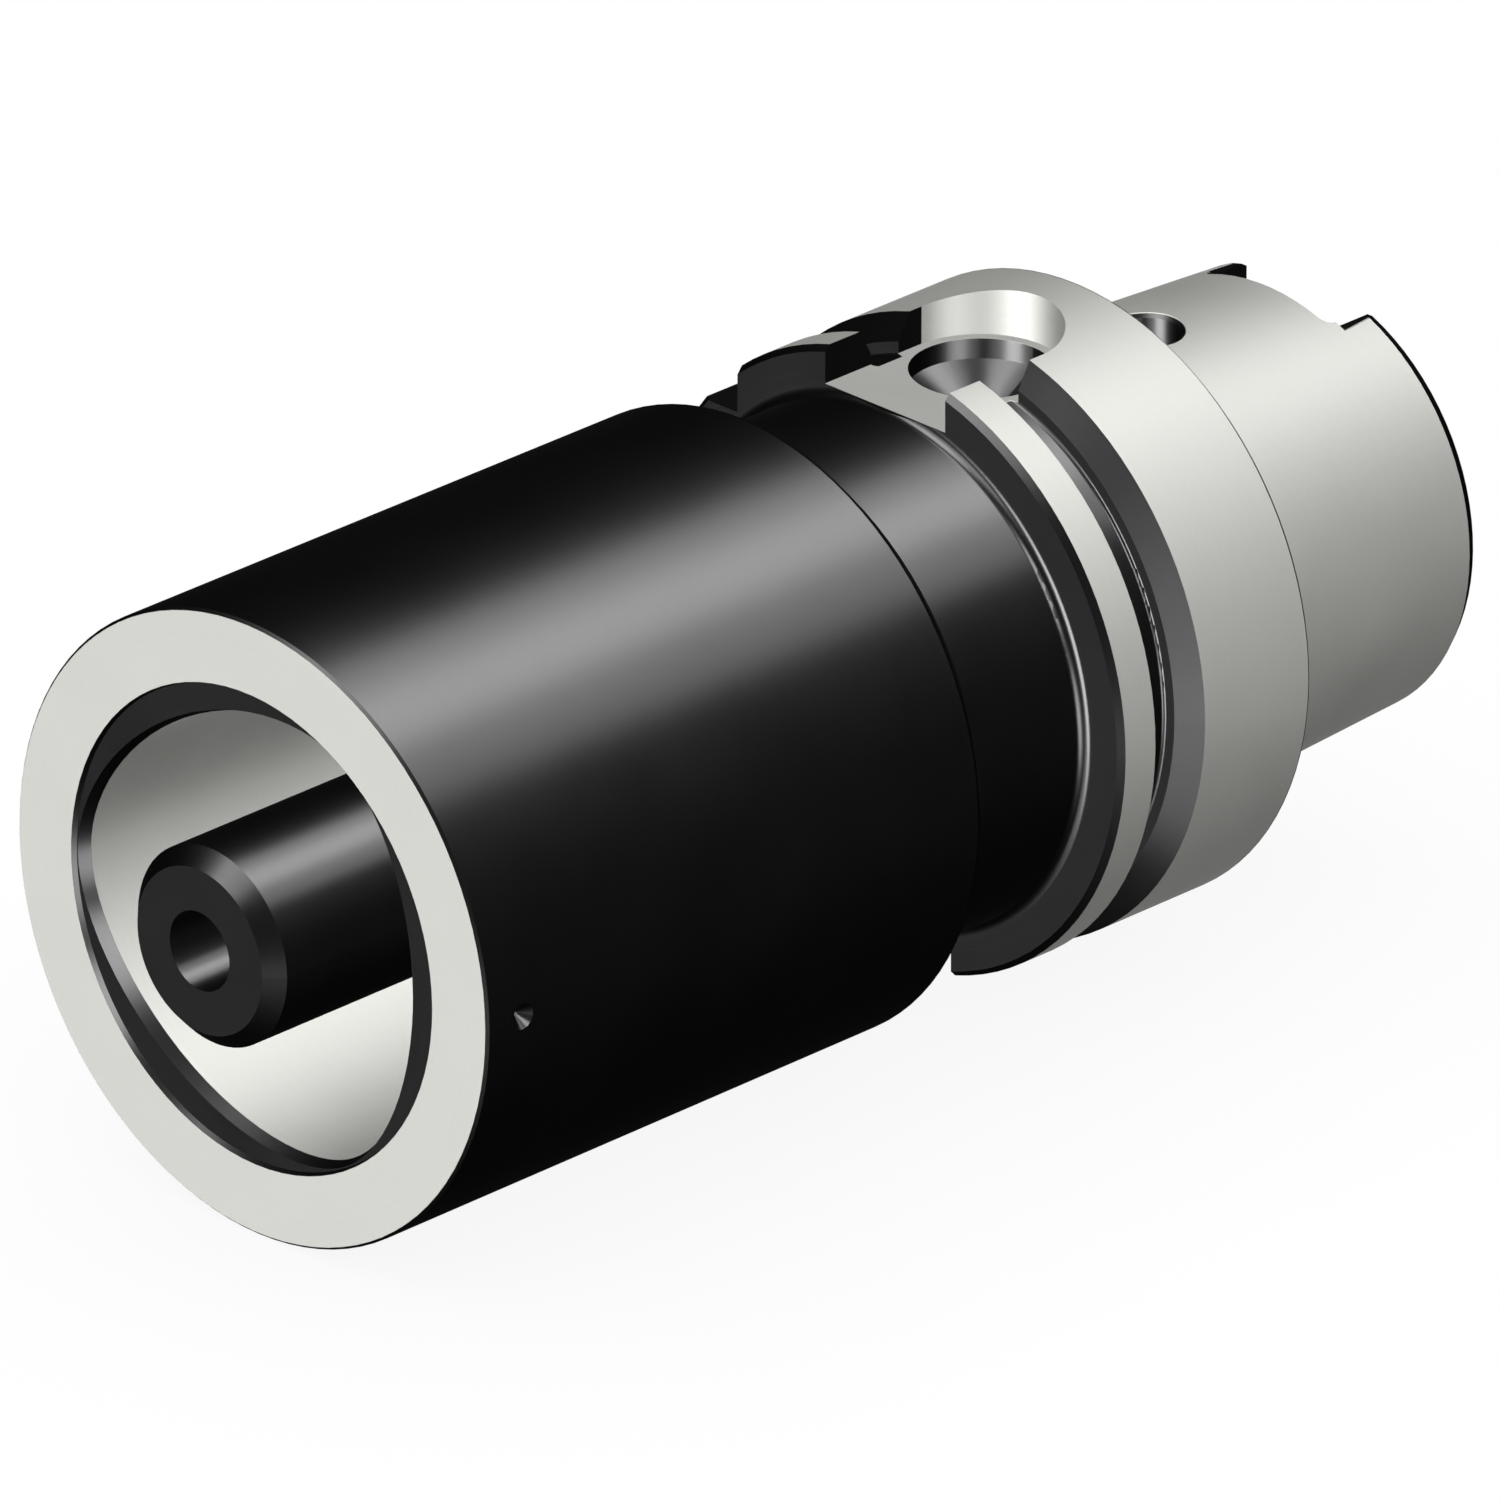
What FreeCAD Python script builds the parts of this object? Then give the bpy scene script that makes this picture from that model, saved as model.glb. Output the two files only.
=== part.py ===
import FreeCAD, Part
import math
import os
import re

import Sketcher

# Tool holder adapter: a hollow taper shank, flange size 63, on the machine side and a polygon
# taper socket, size 63, with a centre bolt on the tool side. The tool axis is Y. The gauge face
# is the plane y = 0, the shank points to +Y, the tool side to -Y, and the shallower keyway is on
# top (+Z). Places on the tool side are positive depths from the gauge face, taken as -Y.

SIZES = {
    # Holder body, on the tool side of the flange
    "body_radius": 31.5,
    "body_projection": 110.0,  # gauge face to front face
    "body_rear_edge": 45.0,  # gauge face to where the body's rear chamfer starts
    "body_rear_chamfer": 1.75,
    "front_edge_break": 0.3,
    "neck_depth": 5.0,  # side of the body or the flange to the neck
    "neck_fillet": 1.0,
    "dimple_place": 4.8,  # front face to the middle of the mark drilled in the side
    "dimple_radius": 1.3,
    "dimple_depth": 1.45,
    "dimple_rim_radius": 2.0,
    "dimple_rim_depth": 0.15,
    # Flange with its gripper groove
    "flange_radius": 31.5,
    "flange_width": 26.0,
    "flange_front_break": 0.6,
    "flange_rear_break": 0.45,
    "groove_centre": 18.0,
    "groove_slot_width": 3.75,
    "groove_foot_radius": 28.9,  # where the sloping flanks meet the straight slot
    "groove_floor_radius": 27.5,
    "groove_flank_angle": 30.0,
    "groove_fillet": 0.35,
    # Keyways, notch and blind hole in the flange
    "top_keyway_width": 16.0,
    "top_keyway_floor": 26.55,
    "top_keyway_runout": 30.0,
    "bottom_keyway_width": 18.0,
    "bottom_keyway_floor": 20.0,
    "bottom_keyway_runout": 27.0,  # gauge face to the cutter's last place, in the neck
    "keyway_end": 5.0,  # gauge face to the round end of both keyways
    "notch_apex_radius": 28.0,
    "pocket_hole_radius": 7.0,
    "pocket_hole_place": 13.0,
    "pocket_hole_depth": 2.1,
    "drill_point_angle": 118.0,
    # Hollow taper shank
    "shank_length": 32.0,
    "gauge_radius": 24.005,
    "gauge_distance": 6.3,  # gauge face to the gauge diameter
    "taper_ratio": 10.0,  # length for each unit of diameter
    "shank_tip_length": 1.25,
    "shank_tip_angle": 30.0,
    "shank_relief_width": 1.6,
    "shank_relief_depth": 0.4,
    "face_relief_width": 0.9,
    "face_relief_depth": 0.4,
    "cavity_mouth_radius": 17.0,
    "cavity_mouth_chamfer": 1.0,
    "clamp_shoulder": 18.13,  # gauge face to the start of the clamping shoulder
    "clamp_angle": 30.0,
    "cavity_radius": 18.5,
    "cavity_floor": 4.5,
    "cavity_fillet": 1.5,
    "drive_slot_width": 16.8,
    "drive_slot_depth": 6.3,
    "drive_slot_corner": 1.2,
    "drive_step_height": 20.83,  # axis to the flats that break the drive slots' outer edges
    "drive_step_length": 5.1,
    "access_hole_radius": 3.75,
    "access_hole_place": 9.0,
    "access_hole_chamfer": 0.45,
    # Polygon taper socket and its recessed mouth
    "recess_radius": 24.22,
    "recess_floor_radius": 24.0,
    "recess_depth": 0.57,
    "socket_diameter": 44.0,  # mean diameter of the polygon in its gauge plane
    "socket_gauge_depth": 2.5,
    "socket_eccentricity": 1.4,
    "socket_taper_ratio": 20.0,
    "socket_depth": 38.8,
    "socket_lead_depth": 1.85,
    "socket_lead_diameter": 44.95,
    "socket_relief_radius": 23.2,
    "socket_relief_width": 2.3,
    # Centre bolt
    "bolt_thread_radius": 10.0,
    "bolt_thread_length": 34.6,
    "bolt_journal_radius": 10.0,
    "bolt_relief_radius": 8.6,
    "bolt_relief_width": 3.0,
    "bolt_overhang": 6.6,  # past the front face
    "bolt_front_chamfer": 1.65,
    "bolt_coolant_radius": 4.0,
    "bolt_collar_radius": 15.5,
    "bolt_collar_thickness": 8.0,
    "bolt_collar_break": 0.5,
    "bolt_spigot_radius": 12.0,
    "bolt_spigot_length": 17.0,
    "bolt_spigot_chamfer": 1.0,
    "key_size": 14.0,  # across the flats of the socket for the hexagon key
    "key_depth": 12.0,
    "bolt_seal_place": 3.2,  # collar's rear face to the middle of the seal's groove
    "bolt_seal_groove_depth": 1.9,
    "bolt_seal_groove_width": 2.4,
    # Ring nut and thrust washer that hold the bolt in
    "nut_thread_radius": 18.0,
    "nut_length": 7.5,
    "nut_edge_break": 0.6,
    "nut_slot_width": 5.0,
    "nut_slot_depth": 3.0,
    "nut_slot_count": 4,
    "washer_thickness": 2.0,
    "bolt_chamber_radius": 16.0,
    "bolt_chamber_front": 61.0,  # gauge face to the seat of the ring nut
    # Coolant tube with its nut
    "tube_thread_radius": 9.0,
    "tube_thread_end": 17.5,  # gauge face to the shoulder that the tube nut seats on
    "tube_thread_chamfer": 1.0,
    "key_passage_radius": 8.5,
    "tube_nut_length": 12.0,
    "tube_nut_break": 0.5,
    "tube_nut_lip_radius": 7.0,
    "tube_nut_lip_width": 0.5,
    "tube_nut_slot_width": 3.0,
    "tube_nut_slot_depth": 2.0,
    "tube_nut_slot_count": 4,
    "tube_radius": 6.0,
    "tube_seat_radius": 6.25,
    "tube_seat_end": 5.0,  # gauge face to the end of the thicker part that the seals sit on
    "tube_bore_radius": 4.0,
    "tube_length": 36.6,
    "tube_tip_length": 2.0,
    "tube_tip_depth": 0.5,
    "tube_collar_radius": 7.4,
    "tube_collar_thickness": 2.2,
    "tube_seal_groove_radius": 7.8,
    "tube_seal_groove_width": 2.0,
    "tube_seal_place": 5.0,  # thread's shoulder to the middle of the first seal
    "tube_seal_spacing": 3.0,
    # Clearances
    "running_clearance": 0.05,  # radial, bolt in its bearings
    "thread_clearance": 0.05,  # radial, between a thread and its hole
    "axial_play": 0.2,  # on each side of the bolt's collar and of the tube's collar
    "spigot_end_clearance": 1.0,
    "washer_clearance": 0.3,
    "tube_clearance": 0.3,
    "seal_clearance": 0.03,
}

CUT_MARGIN = 1.0  # how far a cut starts outside the surface that it opens
SOCKET_POINTS = 60  # points of the polygon curve in one turn
SAME_PLACE = 0.01  # how near an edge must be to the place where it is looked for
LEAST_CUT = 0.5  # cubic millimetres that every cut has to take away

NECK = "(min(body_radius; flange_radius) - neck_depth)"  # below the lower of the two walls beside it

# Depths that follow from the sizes, from the gauge face towards the tool side
COLLAR_FRONT = "(bolt_chamber_front - washer_thickness - axial_play)"
COLLAR_REAR = f"({COLLAR_FRONT} - bolt_collar_thickness)"
CHAMBER_REAR = f"({COLLAR_REAR} - axial_play)"
SPIGOT_END = f"({COLLAR_REAR} - bolt_spigot_length)"
SPIGOT_BORE_END = f"({SPIGOT_END} - spigot_end_clearance)"
BOLT_FRONT = "(body_projection + bolt_overhang)"
SEAL_GROOVE_MIDDLE = f"({COLLAR_REAR} - bolt_seal_place)"
NUT_FRONT = "(bolt_chamber_front + nut_length)"
SOCKET_END = "(body_projection - socket_depth)"
SOCKET_FLOOR = f"({SOCKET_END} - socket_relief_width)"
TUBE_FRONT = "(tube_thread_end - tube_nut_lip_width - axial_play)"
TUBE_NUT_END = "(tube_thread_end - tube_nut_length)"

doc = FreeCAD.newDocument("tool_holder_adapter")
sheet = doc.addObject("Spreadsheet::Sheet", "sizes")


def fill_sheet():
    """Write each driving size into the sheet under its own alias."""
    for row, (name, size) in enumerate(SIZES.items(), start=1):
        sheet.set(f"A{row}", name)
        sheet.set(f"B{row}", str(size))
        sheet.setAlias(f"B{row}", name)
    doc.recompute()


def on_sheet(expression):
    """The same expression with each size's name as a reference to the sheet."""
    return re.sub(r"[a-z_]+", lambda word: f"sizes.{word[0]}" if word[0] in SIZES else word[0], expression)


def value(expression):
    """Number that an expression of sizes has now."""
    return float(sheet.evalExpression(on_sheet(expression)))


def bind(target, name, expression):
    """Tie a property to an expression of sizes."""
    target.setExpression(name, on_sheet(expression))


def taper_radius(place):
    """Radius of the shank's taper at a place along +Y."""
    return f"(gauge_radius - ({place} - gauge_distance) / (2 * taper_ratio))"


def new_body(label):
    """Empty body of one sub-part."""
    body = doc.addObject("PartDesign::Body", label)
    body.Label = label
    body.Placement = FreeCAD.Placement()
    return body


def new_sketch(body, name, role, offset="0"):
    """Empty sketch on an origin plane, moved along the plane's normal by an expression."""
    sketch = body.newObject("Sketcher::SketchObject", name)
    plane = next(part for part in body.Origin.OriginFeatures if part.Role == role)
    sketch.AttachmentSupport = [(plane, "")]
    sketch.MapMode = "FlatFace"
    bind(sketch, "AttachmentOffset.Base.z", offset)
    return sketch


def hold_across(sketch, geometry, end, expression):
    """Hold a point of the sketch at a distance from the sketch's vertical axis."""
    hold(sketch, "DistanceX", -2, geometry, end, expression)


def hold_along(sketch, geometry, end, expression):
    """Hold a point of the sketch at a distance from the sketch's horizontal axis."""
    hold(sketch, "DistanceY", -1, geometry, end, expression)


def hold(sketch, kind, axis, geometry, end, expression):
    """Hold one coordinate of a point, which lies on the axis where the expression is 0."""
    if expression == "0":
        sketch.addConstraint(Sketcher.Constraint("PointOnObject", geometry, end, axis))
        return
    distance = Sketcher.Constraint(kind, -1, 1, geometry, end, value(expression))
    bind(sketch, f"Constraints[{sketch.addConstraint(distance)}]", expression)


def hold_point(sketch, geometry, end, across, along):
    """Hold a point of the sketch at two expressions, measured from the sketch's origin."""
    hold_across(sketch, geometry, end, across)
    hold_along(sketch, geometry, end, along)


def draw_outline(sketch, corners):
    """Closed outline of straight lines through corners given as pairs of expressions."""
    points = [FreeCAD.Vector(value(across), value(along), 0) for across, along in corners]
    first = sketch.GeometryCount
    for start, end in zip(points, points[1:] + points[:1]):
        sketch.addGeometry(Part.LineSegment(start, end))
    for number, (across, along) in enumerate(corners):
        following = first + (number + 1) % len(corners)
        sketch.addConstraint(Sketcher.Constraint("Coincident", first + number, 2, following, 1))
        hold_point(sketch, first + number, 1, across, along)


def draw_round_slot(sketch, width, low, high):
    """Slot with two round ends whose centres lie on the sketch's vertical axis."""
    side = value(f"{width} / 2")
    places = (value(low), value(high))
    up = FreeCAD.Vector(0, 0, 1)
    for sign in (-1, 1):
        ends = [FreeCAD.Vector(sign * side, place, 0) for place in places]
        sketch.addGeometry(Part.LineSegment(*ends))
    for centre, start in ((places[1], 0.0), (places[0], math.pi)):
        circle = Part.Circle(FreeCAD.Vector(0, centre, 0), up, side)
        sketch.addGeometry(Part.ArcOfCircle(circle, start, start + math.pi))
    left, right, high_arc, low_arc = range(4)
    for line, across in ((left, f"-{width} / 2"), (right, f"{width} / 2")):
        hold_point(sketch, line, 1, across, low)
        hold_point(sketch, line, 2, across, high)
    for arc, lines, line_end, place in ((high_arc, (right, left), 2, high), (low_arc, (left, right), 1, low)):
        for arc_end, line in enumerate(lines, start=1):
            sketch.addConstraint(Sketcher.Constraint("Coincident", arc, arc_end, line, line_end))
        hold_along(sketch, arc, 3, place)


def turn(body, name, corners, kind="PartDesign::Revolution"):
    """Turned form, or turned cut into what is there, from a half section about the tool axis."""
    sketch = new_sketch(body, f"{name}_section", "XY_Plane")
    draw_outline(sketch, corners)
    feature = body.newObject(kind, name)
    feature.Profile = sketch
    feature.ReferenceAxis = (sketch, ["V_Axis"])
    if feature.BaseFeature:
        return cut_counts(body, feature)
    doc.recompute()
    return feature


def drill(body, name, role, corners, axis_ends):
    """Turned cut about an axis of its own, which its sketch holds as a construction line."""
    sketch = new_sketch(body, f"{name}_section", role)
    ends = [FreeCAD.Vector(value(across), value(along), 0) for across, along in axis_ends]
    sketch.addGeometry(Part.LineSegment(*ends), True)
    for end, (across, along) in enumerate(axis_ends, start=1):
        hold_point(sketch, 0, end, across, along)
    draw_outline(sketch, corners)
    feature = body.newObject("PartDesign::Groove", name)
    feature.Profile = sketch
    feature.ReferenceAxis = (sketch, ["Axis0"])
    return cut_counts(body, feature)


def pocket(body, sketch, name, length=None, reverse=False, both_ways=False):
    """Straight cut from a sketch, through everything where no length is given."""
    feature = body.newObject("PartDesign::Pocket", name)
    feature.Profile = sketch
    feature.Type = "Length" if length else "ThroughAll"
    if length:
        bind(feature, "Length", length)
    feature.Reversed = reverse
    if both_ways:
        feature.SideType = "Symmetric"
    return cut_counts(body, feature)


def cut_counts(body, feature):
    """Rebuild, and stop if the cut took nothing away."""
    before = feature.BaseFeature.Shape.Volume
    doc.recompute()
    if not feature.Shape.Volume < before - LEAST_CUT:
        raise RuntimeError(f"{feature.Name} in {body.Label} cuts nothing")
    return feature


def round_turned_edges(body, name, base, places, radius):
    """Fillet on the turned edges that lie at the given pairs of radius and Y."""
    wanted = [(value(across), value(along)) for across, along in places]
    edges = []
    for number, edge in enumerate(base.Shape.Edges, start=1):
        if not isinstance(edge.Curve, Part.Circle):
            continue
        found = (edge.Curve.Radius, edge.Curve.Center.y)
        if any(math.dist(found, place) < SAME_PLACE for place in wanted):
            edges.append(f"Edge{number}")
    return dress(body, "PartDesign::Fillet", "Radius", name, base, edges, radius)


def dress(body, kind, size_name, name, base, edges, size):
    """Fillet or chamfer on named edges of the feature before it."""
    feature = body.newObject(kind, name)
    feature.Base = (base, edges)
    bind(feature, size_name, size)
    doc.recompute()
    return feature


def repeat_round_axis(body, feature, name, count):
    """Copies of a cut, evenly spaced about the tool axis."""
    pattern = body.newObject("PartDesign::PolarPattern", name)
    pattern.Originals = [feature]
    axis = next(part for part in body.Origin.OriginFeatures if part.Role == "Y_Axis")
    pattern.Axis = (axis, [""])
    bind(pattern, "Occurrences", count)
    body.Tip = pattern
    doc.recompute()
    return pattern


def holder_blank():
    """Holder body, neck, flange and shank turned in one, with every bore and cut but the socket."""
    body = new_body("holder_blank")
    shoulder = "(body_rear_edge - body_rear_chamfer)"
    tip = "(shank_length - shank_tip_length)"
    relief = f"({taper_radius('0')} - shank_relief_depth)"
    spigot_bore = "bolt_spigot_radius + running_clearance"
    turned = turn(body, "turned_form", [
        ("recess_radius", "-body_projection"),
        ("body_radius - front_edge_break", "-body_projection"),
        ("body_radius", "front_edge_break - body_projection"),
        ("body_radius", "-body_rear_edge"),
        ("body_radius - body_rear_chamfer", f"-{shoulder}"),
        (NECK, f"-{shoulder}"),
        (NECK, "-flange_width"),
        ("flange_radius - flange_front_break", "-flange_width"),
        ("flange_radius", "flange_front_break - flange_width"),
        ("flange_radius", "-flange_rear_break"),
        ("flange_radius - flange_rear_break", "0"),
        (f"{relief} + face_relief_width", "0"),
        (relief, "-face_relief_depth"),
        (relief, "shank_relief_width"),
        (taper_radius("shank_relief_width"), "shank_relief_width"),
        (taper_radius(tip), tip),
        (f"{taper_radius(tip)} - shank_tip_length * tan(shank_tip_angle)", "shank_length"),
        ("cavity_mouth_radius + cavity_mouth_chamfer", "shank_length"),
        ("cavity_mouth_radius", "shank_length - cavity_mouth_chamfer / tan(clamp_angle)"),
        ("cavity_mouth_radius", "clamp_shoulder"),
        ("cavity_radius", "clamp_shoulder - (cavity_radius - cavity_mouth_radius) / tan(clamp_angle)"),
        ("cavity_radius", "-cavity_floor"),
        ("tube_thread_radius + tube_thread_chamfer", "-cavity_floor"),
        ("tube_thread_radius", "-cavity_floor - tube_thread_chamfer"),
        ("tube_thread_radius", "-tube_thread_end"),
        ("key_passage_radius", "-tube_thread_end"),
        ("key_passage_radius", f"-{SPIGOT_BORE_END}"),
        (spigot_bore, f"-{SPIGOT_BORE_END}"),
        (spigot_bore, f"-{CHAMBER_REAR}"),
        ("bolt_chamber_radius", f"-{CHAMBER_REAR}"),
        ("bolt_chamber_radius", "-bolt_chamber_front"),
        ("nut_thread_radius", "-bolt_chamber_front"),
        ("nut_thread_radius", f"-{SOCKET_FLOOR}"),
        ("socket_relief_radius", f"-{SOCKET_FLOOR}"),
        ("socket_relief_radius", f"-{SOCKET_END}"),
        ("nut_thread_radius", f"-{SOCKET_END}"),
        ("nut_thread_radius", "recess_depth - body_projection"),
        ("recess_floor_radius", "recess_depth - body_projection"),
    ])
    neck_ends = [(NECK, f"-{shoulder}"), (NECK, "-flange_width")]
    necked = round_turned_edges(body, "neck_fillets", turned, neck_ends, "neck_fillet")
    cavity_corner = [("cavity_radius", "-cavity_floor")]
    round_turned_edges(body, "cavity_fillet_round", necked, cavity_corner, "cavity_fillet")
    cut_gripper_groove(body)
    cut_keyways(body)
    cut_orientation_notch(body)
    cut_shank(body)
    cut_dimple(body)
    return body


def cut_gripper_groove(body):
    """V-shaped groove with a straight slot at its bottom, for a tool changer's gripper."""
    outside = f"(flange_radius + {CUT_MARGIN})"
    half_slot = "groove_slot_width / 2"
    half_mouth = f"({half_slot} + ({outside} - groove_foot_radius) * tan(groove_flank_angle))"
    groove = turn(body, "gripper_groove", [
        ("groove_floor_radius", f"-groove_centre - {half_slot}"),
        ("groove_foot_radius", f"-groove_centre - {half_slot}"),
        (outside, f"-groove_centre - {half_mouth}"),
        (outside, f"-groove_centre + {half_mouth}"),
        ("groove_foot_radius", f"-groove_centre + {half_slot}"),
        ("groove_floor_radius", f"-groove_centre + {half_slot}"),
    ], kind="PartDesign::Groove")
    floor_edges = [("groove_floor_radius", f"-groove_centre {sign} {half_slot}") for sign in "-+"]
    round_turned_edges(body, "groove_fillets", groove, floor_edges, "groove_fillet")


def cut_keyways(body):
    """Two keyways of different width and depth in the flange, and the blind hole in the top one."""
    top = new_sketch(body, "top_keyway_plan", "XY_Plane", "top_keyway_floor")
    draw_round_slot(top, "top_keyway_width", "-top_keyway_runout", "-keyway_end - top_keyway_width / 2")
    top_height = f"flange_radius - top_keyway_floor + {CUT_MARGIN}"
    pocket(body, top, "top_keyway", length=top_height, reverse=True)
    bottom = new_sketch(body, "bottom_keyway_plan", "XY_Plane", "-bottom_keyway_floor")
    bottom_end = "-keyway_end - bottom_keyway_width / 2"
    draw_round_slot(bottom, "bottom_keyway_width", "-bottom_keyway_runout", bottom_end)
    pocket(body, bottom, "bottom_keyway")
    side = "-pocket_hole_place + pocket_hole_radius"
    wall_end = "top_keyway_floor - pocket_hole_depth"
    mouth = f"top_keyway_floor + {CUT_MARGIN}"
    point = f"{wall_end} - pocket_hole_radius / tan(drill_point_angle / 2)"
    drill(body, "pocket_hole", "YZ_Plane", [
        ("-pocket_hole_place", point),
        (side, wall_end),
        (side, mouth),
        ("-pocket_hole_place", mouth),
    ], [("-pocket_hole_place", "0"), ("-pocket_hole_place", mouth)])


def cut_orientation_notch(body):
    """Right-angled notch through the flange's front ring, half way between top and side."""
    apex = "notch_apex_radius / sqrt(2)"
    outside = f"(flange_radius + {CUT_MARGIN})"
    sketch = new_sketch(body, "orientation_notch_view", "XZ_Plane", f"flange_width + {CUT_MARGIN}")
    draw_outline(sketch, [
        (f"-{apex}", apex),
        (f"-{apex}", outside),
        (f"-{outside}", outside),
        (f"-{outside}", apex),
    ])
    pocket(body, sketch, "orientation_notch", length=f"flange_width - groove_centre + {CUT_MARGIN}")


def cut_shank(body):
    """Drive slots across the shank's end, the flats along their outer edges, and the access hole."""
    slots = new_sketch(body, "drive_slot_plan", "XY_Plane")
    half, floor = "drive_slot_width / 2", "shank_length - drive_slot_depth"
    beyond = f"shank_length + {CUT_MARGIN}"
    draw_outline(slots, [(f"-{half}", floor), (half, floor), (half, beyond), (f"-{half}", beyond)])
    cut = pocket(body, slots, "drive_slots", both_ways=True)
    corners = []
    for number, edge in enumerate(cut.Shape.Edges, start=1):
        box = edge.BoundBox
        upright = box.XLength < SAME_PLACE and box.YLength < SAME_PLACE
        place = (abs(box.Center.x), box.Center.y)
        if upright and math.dist(place, (value(half), value(floor))) < SAME_PLACE:
            corners.append(f"Edge{number}")
    dress(body, "PartDesign::Fillet", "Radius", "drive_slot_corners", cut, corners, "drive_slot_corner")
    start = "shank_length - drive_step_length"
    reach = taper_radius(f"({start})")
    step = [(f"-{reach}", start), (reach, start), (reach, beyond), (f"-{reach}", beyond)]
    for name, height, upward in (("top", "drive_step_height", True), ("bottom", "-drive_step_height", False)):
        flats = new_sketch(body, f"{name}_drive_step_plan", "XY_Plane", height)
        draw_outline(flats, step)
        pocket(body, flats, f"{name}_drive_step", length=f"{reach} - drive_step_height", reverse=upward)
    cut_access_hole(body)


def cut_access_hole(body):
    """Radial hole through the shank's wall, with a chamfered rim."""
    plan = new_sketch(body, "access_hole_plan", "XY_Plane")
    centre = FreeCAD.Vector(0, value("access_hole_place"), 0)
    radius = value("access_hole_radius")
    plan.addGeometry(Part.Circle(centre, FreeCAD.Vector(0, 0, 1), radius))
    hold_point(plan, 0, 3, "0", "access_hole_place")
    plan.addConstraint(Sketcher.Constraint("Radius", 0, radius))
    bind(plan, f"Constraints[{plan.ConstraintCount - 1}]", "access_hole_radius")
    hole = pocket(body, plan, "access_hole", reverse=True)
    rim = []
    for number, edge in enumerate(hole.Shape.Edges, start=1):
        box = edge.BoundBox
        round_hole = abs(box.Center.y - centre.y) < SAME_PLACE and box.XLength < 2 * radius + SAME_PLACE
        if round_hole and box.ZMin > value("cavity_radius") and box.ZLength < radius:
            rim.append(f"Edge{number}")
    dress(body, "PartDesign::Chamfer", "Size", "access_hole_rim", hole, rim, "access_hole_chamfer")


def cut_dimple(body):
    """Centre-drilled mark in the side of the body, close to the front face."""
    middle = "(dimple_place - body_projection)"
    outside = f"body_radius + {CUT_MARGIN}"
    drill(body, "dimple", "XY_Plane", [
        ("body_radius - dimple_depth", middle),
        ("body_radius - dimple_rim_depth", f"{middle} + dimple_radius"),
        ("body_radius", f"{middle} + dimple_rim_radius"),
        (outside, f"{middle} + dimple_rim_radius"),
        (outside, middle),
    ], [("0", middle), ("body_radius", middle)])


def polygon_wire(depth, diameter):
    """Closed three-lobed curve of the socket at a depth, for a mean diameter."""
    offset = value("socket_eccentricity")
    points = []
    for number in range(SOCKET_POINTS):
        turn_angle = 2 * math.pi * number / SOCKET_POINTS
        across = diameter / 2 * math.cos(turn_angle)
        across += offset * math.cos(4 * turn_angle) - 2 * offset * math.cos(2 * turn_angle)
        upward = diameter / 2 * math.sin(turn_angle)
        upward += offset * math.sin(4 * turn_angle) + 2 * offset * math.sin(2 * turn_angle)
        points.append(FreeCAD.Vector(across, -depth, upward))
    curve = Part.BSplineCurve()
    curve.interpolate(points, PeriodicFlag=True)
    return Part.Wire([curve.toShape()])


def socket_form():
    """Solid form of the polygon taper socket with the wider lead at its mouth."""
    front = value("body_projection")
    gauge_plane = front - value("socket_gauge_depth")
    lead_front = front - value("recess_depth")
    lead_end = front - value("socket_lead_depth")
    run_out = value(SOCKET_END) - value("socket_relief_width") / 2

    def taper_diameter(depth):
        return value("socket_diameter") - (gauge_plane - depth) / value("socket_taper_ratio")

    mouth = polygon_wire(lead_front, value("socket_lead_diameter"))
    start = polygon_wire(lead_end, taper_diameter(lead_end))
    end = polygon_wire(run_out, taper_diameter(run_out))
    lead = Part.makeLoft([mouth, start], True, True)
    taper = Part.makeLoft([start, end], True, True)
    form = doc.addObject("Part::Feature", "socket_form")
    form.Shape = lead.fuse(taper)
    form.Placement = FreeCAD.Placement()
    return form


def adapter_body():
    """One-piece holder: the turned and milled blank with the polygon taper socket cut into it."""
    cut = doc.addObject("Part::Cut", "adapter_body")
    cut.Label = "adapter_body"
    cut.Base = holder_blank()
    cut.Tool = socket_form()
    doc.recompute()
    return cut


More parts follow.
